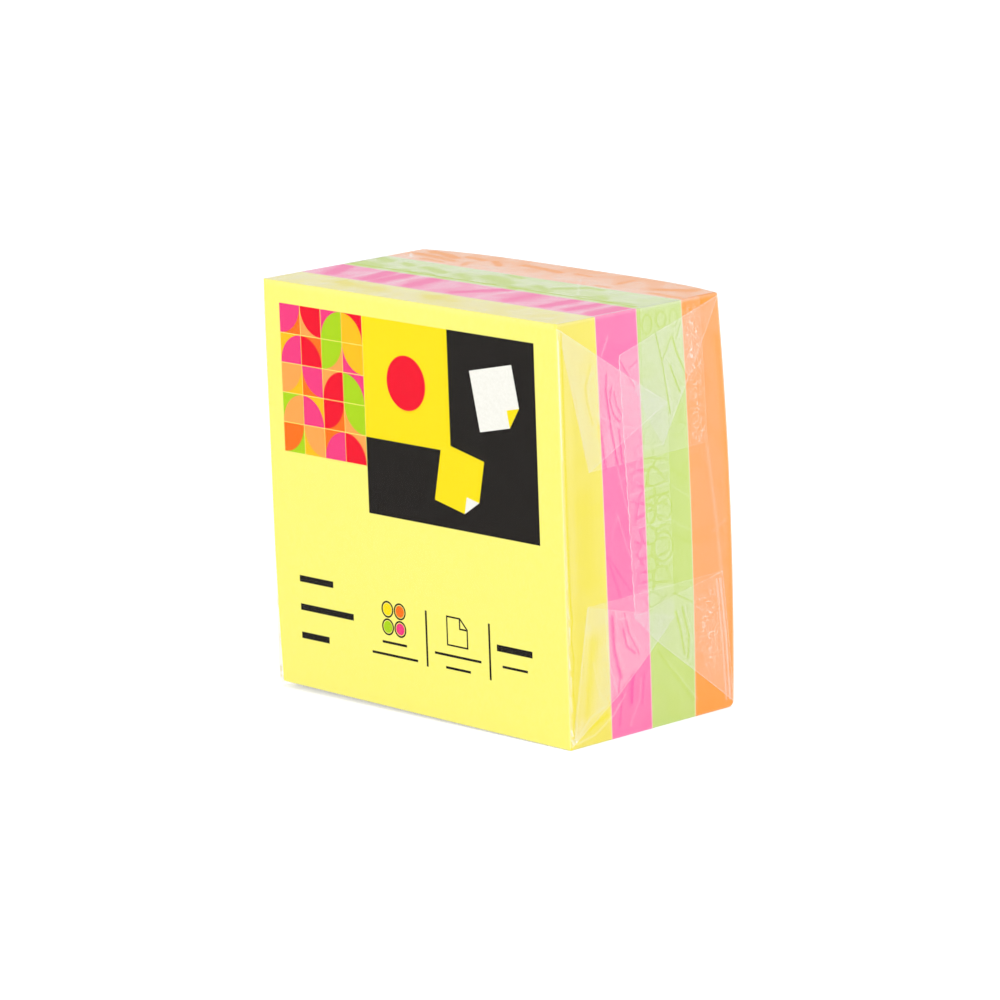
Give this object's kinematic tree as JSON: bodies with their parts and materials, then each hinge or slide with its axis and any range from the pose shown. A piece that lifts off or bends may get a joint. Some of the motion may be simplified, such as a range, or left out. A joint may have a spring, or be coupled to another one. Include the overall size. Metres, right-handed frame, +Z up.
{
  "type": "sticky note pad",
  "caption": "Block of coloured square sticky note pads behind a printed front sheet, in a clear folded film overwrap.",
  "frame": {"origin": "middle of the footprint, on the surface that the block stands on", "axes": "+X along the printed front from left to right, +Y from the front to the back, +Z up"},
  "size_m": [0.0766, 0.0438, 0.0762],
  "materials": {
    "yellow_paper": "matte",
    "pink_paper": "matte",
    "green_paper": "matte",
    "orange_paper": "matte",
    "front_sheet": "matte",
    "clear_film": "clear gloss",
    "lime_ink": "printed ink",
    "amber_ink": "printed ink",
    "orange_ink": "printed ink",
    "peach_ink": "printed ink",
    "pink_ink": "printed ink",
    "red_ink": "printed ink",
    "bright_ink": "printed ink",
    "white_ink": "printed ink",
    "black_ink": "printed ink"
  },
  "bodies": {
    "root": {"cover_sheet": "front_sheet", "pad_yellow": "yellow_paper", "pad_pink": "pink_paper", "pad_green": "green_paper", "pad_orange": "orange_paper", "film_wrap": "clear_film", "print_lime": "lime_ink", "print_amber": "amber_ink", "print_orange": "orange_ink", "print_peach": "peach_ink", "print_pink": "pink_ink", "print_red": "red_ink", "print_bright": "bright_ink", "print_white": "white_ink", "print_black": "black_ink"}
  },
  "joints": []
}
